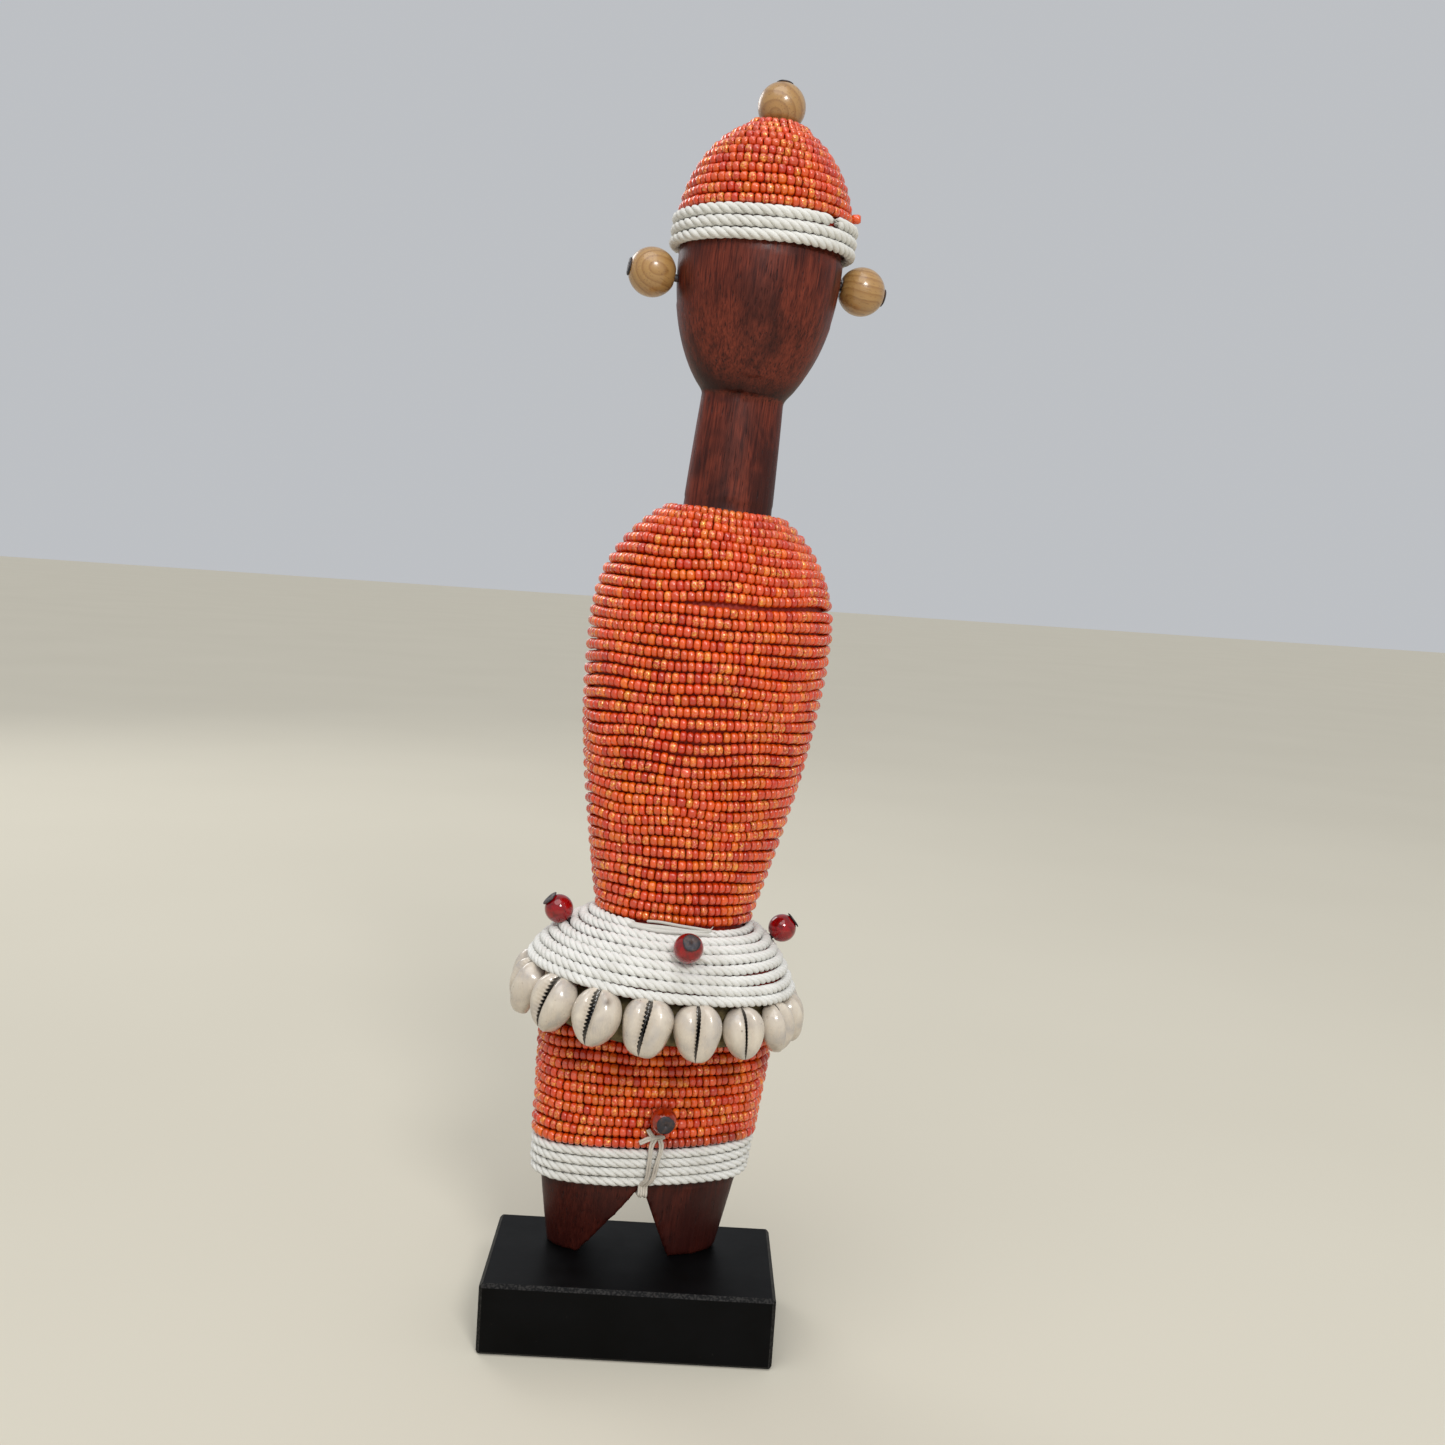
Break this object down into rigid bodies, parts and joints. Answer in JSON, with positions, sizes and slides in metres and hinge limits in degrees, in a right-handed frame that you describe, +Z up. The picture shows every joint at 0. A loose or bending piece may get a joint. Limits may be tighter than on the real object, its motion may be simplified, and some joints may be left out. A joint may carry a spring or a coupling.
{
  "type": "beaded fertility doll",
  "caption": "Carved wooden doll wound with glass seed beads and cotton cord, with a cowrie skirt and nailed beads, standing on a black block.",
  "frame": {"origin": "centre of the black block's underside, where the object rests", "axes": "+Z up, +X to the object's left-to-right as seen from its front, -Y the block's front, towards which the doll faces"},
  "size_m": [0.0932, 0.0728, 0.3451],
  "materials": {
    "figure_wood": "stained dark red-brown, semi-gloss",
    "black_wood": "matt black paint",
    "screw_steel": "plain zinc",
    "strip_leather": "worn olive brown",
    "white_cotton": "twisted cotton cord",
    "grey_thread": "waxed thread",
    "seed_glass": "opaque coral glass with a lustre",
    "varnished_wood": "tan, varnished",
    "amber_glass": "amber orange",
    "red_glass": "deep red, glossy",
    "nail_iron": "dark, dull",
    "cowrie_shell": "cream porcelain gloss"
  },
  "bodies": {
    "doll": {"carved_figure": "figure_wood", "base_block": "black_wood", "base_screw_left": "screw_steel", "base_screw_right": "screw_steel", "shell_band": "strip_leather", "waist_cord": "white_cotton", "hem_cord": "white_cotton", "cap_cord": "white_cotton", "torso_beads": "seed_glass", "hip_beads": "seed_glass", "cap_beads": "seed_glass", "tie_thread": "grey_thread", "crown_nail": "nail_iron", "ear_nail_left": "nail_iron", "ear_nail_right": "nail_iron", "hip_nail": "nail_iron", "skirt_nail_front": "nail_iron", "skirt_nail_left": "nail_iron", "skirt_nail_right": "nail_iron", "skirt_nail_back": "nail_iron", "cowrie_01": "cowrie_shell", "cowrie_02": "cowrie_shell", "cowrie_03": "cowrie_shell", "cowrie_04": "cowrie_shell", "cowrie_05": "cowrie_shell", "cowrie_06": "cowrie_shell", "cowrie_07": "cowrie_shell", "cowrie_08": "cowrie_shell", "cowrie_09": "cowrie_shell", "cowrie_10": "cowrie_shell", "cowrie_11": "cowrie_shell", "cowrie_12": "cowrie_shell", "cowrie_13": "cowrie_shell", "cowrie_14": "cowrie_shell", "cowrie_15": "cowrie_shell", "cowrie_16": "cowrie_shell"},
    "crown_bead": {"crown_bead": "varnished_wood"},
    "ear_bead_left": {"ear_bead_left": "varnished_wood"},
    "ear_bead_right": {"ear_bead_right": "varnished_wood"},
    "hip_bead": {"hip_bead": "amber_glass"},
    "skirt_bead_front": {"skirt_bead_front": "red_glass"},
    "skirt_bead_right": {"skirt_bead_right": "red_glass"},
    "skirt_bead_back": {"skirt_bead_back": "red_glass"},
    "skirt_bead_left": {"skirt_bead_left": "red_glass"}
  },
  "joints": [
    {"name": "crown_bead_spin", "type": "hinge", "parent": "doll", "child": "crown_bead", "pos_m": [0.02048, 0.0085, 0.33805], "axis": [0.068, 0, 0.9977], "continuous": true},
    {"name": "ear_bead_left_spin", "type": "hinge", "parent": "doll", "child": "ear_bead_left", "pos_m": [-0.01123, 0.00348, 0.29171], "axis": [-0.9754, -0.1732, 0.1364], "continuous": true},
    {"name": "ear_bead_right_spin", "type": "hinge", "parent": "doll", "child": "ear_bead_right", "pos_m": [0.04593, 0.01352, 0.29242], "axis": [0.9754, 0.1732, -0.1364], "continuous": true},
    {"name": "hip_bead_spin", "type": "hinge", "parent": "doll", "child": "hip_bead", "pos_m": [0.00654, -0.0099, 0.06347], "axis": [0.1732, -0.9848, -0.0118], "continuous": true},
    {"name": "skirt_bead_front_spin", "type": "hinge", "parent": "doll", "child": "skirt_bead_front", "pos_m": [0.01012, -0.01919, 0.11425], "axis": [0.1793, -0.7861, 0.5915], "continuous": true},
    {"name": "skirt_bead_right_spin", "type": "hinge", "parent": "doll", "child": "skirt_bead_right", "pos_m": [0.03691, 0.01409, 0.1133], "axis": [0.7728, 0.1285, 0.6216], "continuous": true},
    {"name": "skirt_bead_back_spin", "type": "hinge", "parent": "doll", "child": "skirt_bead_back", "pos_m": [0.00038, 0.03619, 0.11491], "axis": [-0.0973, 0.7861, 0.6104], "continuous": true},
    {"name": "skirt_bead_left_spin", "type": "hinge", "parent": "doll", "child": "skirt_bead_left", "pos_m": [-0.02629, 0.00292, 0.11761], "axis": [-0.6813, -0.1285, 0.7207], "continuous": true}
  ]
}
